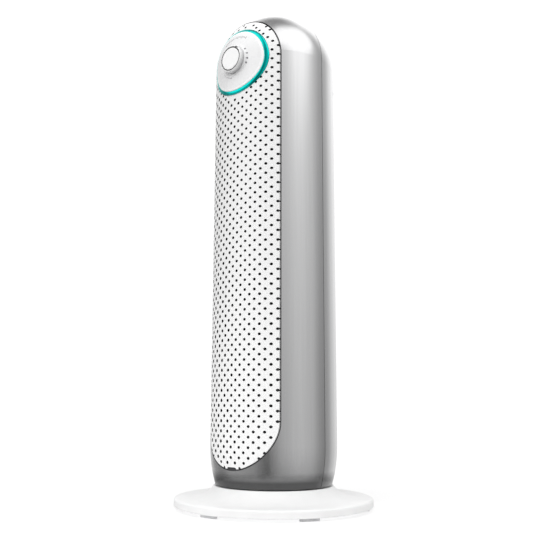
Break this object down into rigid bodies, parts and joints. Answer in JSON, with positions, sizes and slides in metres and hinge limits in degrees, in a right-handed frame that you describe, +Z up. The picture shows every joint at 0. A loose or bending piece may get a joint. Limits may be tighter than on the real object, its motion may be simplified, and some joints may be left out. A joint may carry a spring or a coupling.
{
  "type": "air purifier",
  "caption": "Silver tower air purifier with a perforated front panel, round control dial with a teal ring, and a white round foot.",
  "frame": {"origin": "centre of the round foot on the surface it stands on", "axes": "+Z up the tower, -Y towards the perforated panel and the dial, +X to the right of someone looking at the front"},
  "size_m": [0.248, 0.248, 0.652],
  "materials": {
    "silver": "satin metallic",
    "white_gloss": "glossy white",
    "white_satin": "satin white",
    "teal": "glossy teal",
    "pointer": "dark print",
    "dark_grey_plastic": "moulded dark grey",
    "net": "fine black net",
    "grey_plastic": "moulded grey",
    "black_plastic": "moulded black",
    "rubber": "grey rubber",
    "black_rubber": "black rubber",
    "steel": "machined steel",
    "zinc": "zinc plated",
    "bronze": "sintered bronze",
    "circuit": "circuit board",
    "components": "electronic parts",
    "hepa": "pleated filter paper",
    "carbon": "activated carbon mesh",
    "foam": "closed cell foam",
    "ribbon": "woven tape",
    "fan_plastic": "glass filled moulding"
  },
  "bodies": {
    "cabinet": {"front_shell": "silver", "rear_shell": "silver", "seam_strip": "black_plastic", "shell_screws": "zinc", "outlet_grille": "grey_plastic", "filter_bay": "dark_grey_plastic", "dial_housing": "white_satin", "dial_ring": "teal", "dial_face": "white_gloss", "rotary_switch": "components", "switch_nut": "zinc", "control_board": "circuit", "board_screws": "zinc", "motor_can": "zinc", "motor_bracket": "zinc", "motor_grommets": "black_rubber", "motor_screws": "zinc", "duct_floor": "grey_plastic", "duct_ceiling": "grey_plastic", "bearing_holder": "grey_plastic", "top_bearing": "bronze", "scroll_wall": "grey_plastic", "stabiliser_wall": "grey_plastic", "power_inlet": "black_plastic", "inlet_pins": "steel", "power_board": "circuit", "board_components": "components", "bottom_plate": "black_plastic", "base_disc": "white_gloss", "base_cover": "grey_plastic", "rubber_feet": "rubber", "base_screws": "zinc"},
    "knob": {"control_knob": "white_gloss", "knob_cap": "white_gloss", "knob_trim_ring": "black_rubber", "knob_pointer": "pointer", "knob_shaft": "steel"},
    "fan": {"fan_wheel": "fan_plastic", "drive_coupling": "black_rubber", "motor_shaft": "steel", "wheel_stub": "steel"},
    "panel": {"front_grille": "white_satin", "dust_net": "net"},
    "filter": {"filter_frame": "white_satin", "hepa_media": "hepa", "carbon_prefilter": "carbon", "filter_gasket": "foam", "filter_pull_tab": "ribbon"}
  },
  "joints": [
    {"name": "knob_turn", "type": "hinge", "parent": "cabinet", "child": "knob", "pos_m": [0, -0.0834, 0.5647], "axis": [0, -1, 0], "range_deg": [-75, 185]},
    {"name": "fan_spin", "type": "hinge", "parent": "cabinet", "child": "fan", "pos_m": [0, 0.018, 0.28], "axis": [0, 0, 1], "continuous": true},
    {"name": "panel_slide", "type": "slide", "parent": "cabinet", "child": "panel", "axis": [0, -1, 0], "range_m": [0, 0.12]},
    {"name": "filter_slide", "type": "slide", "parent": "cabinet", "child": "filter", "axis": [0, -1, 0], "range_m": [0, 0.06]}
  ],
  "couplings": [
    {"joint": "filter_slide", "follows": "panel_slide", "ratio": 0.5}
  ]
}
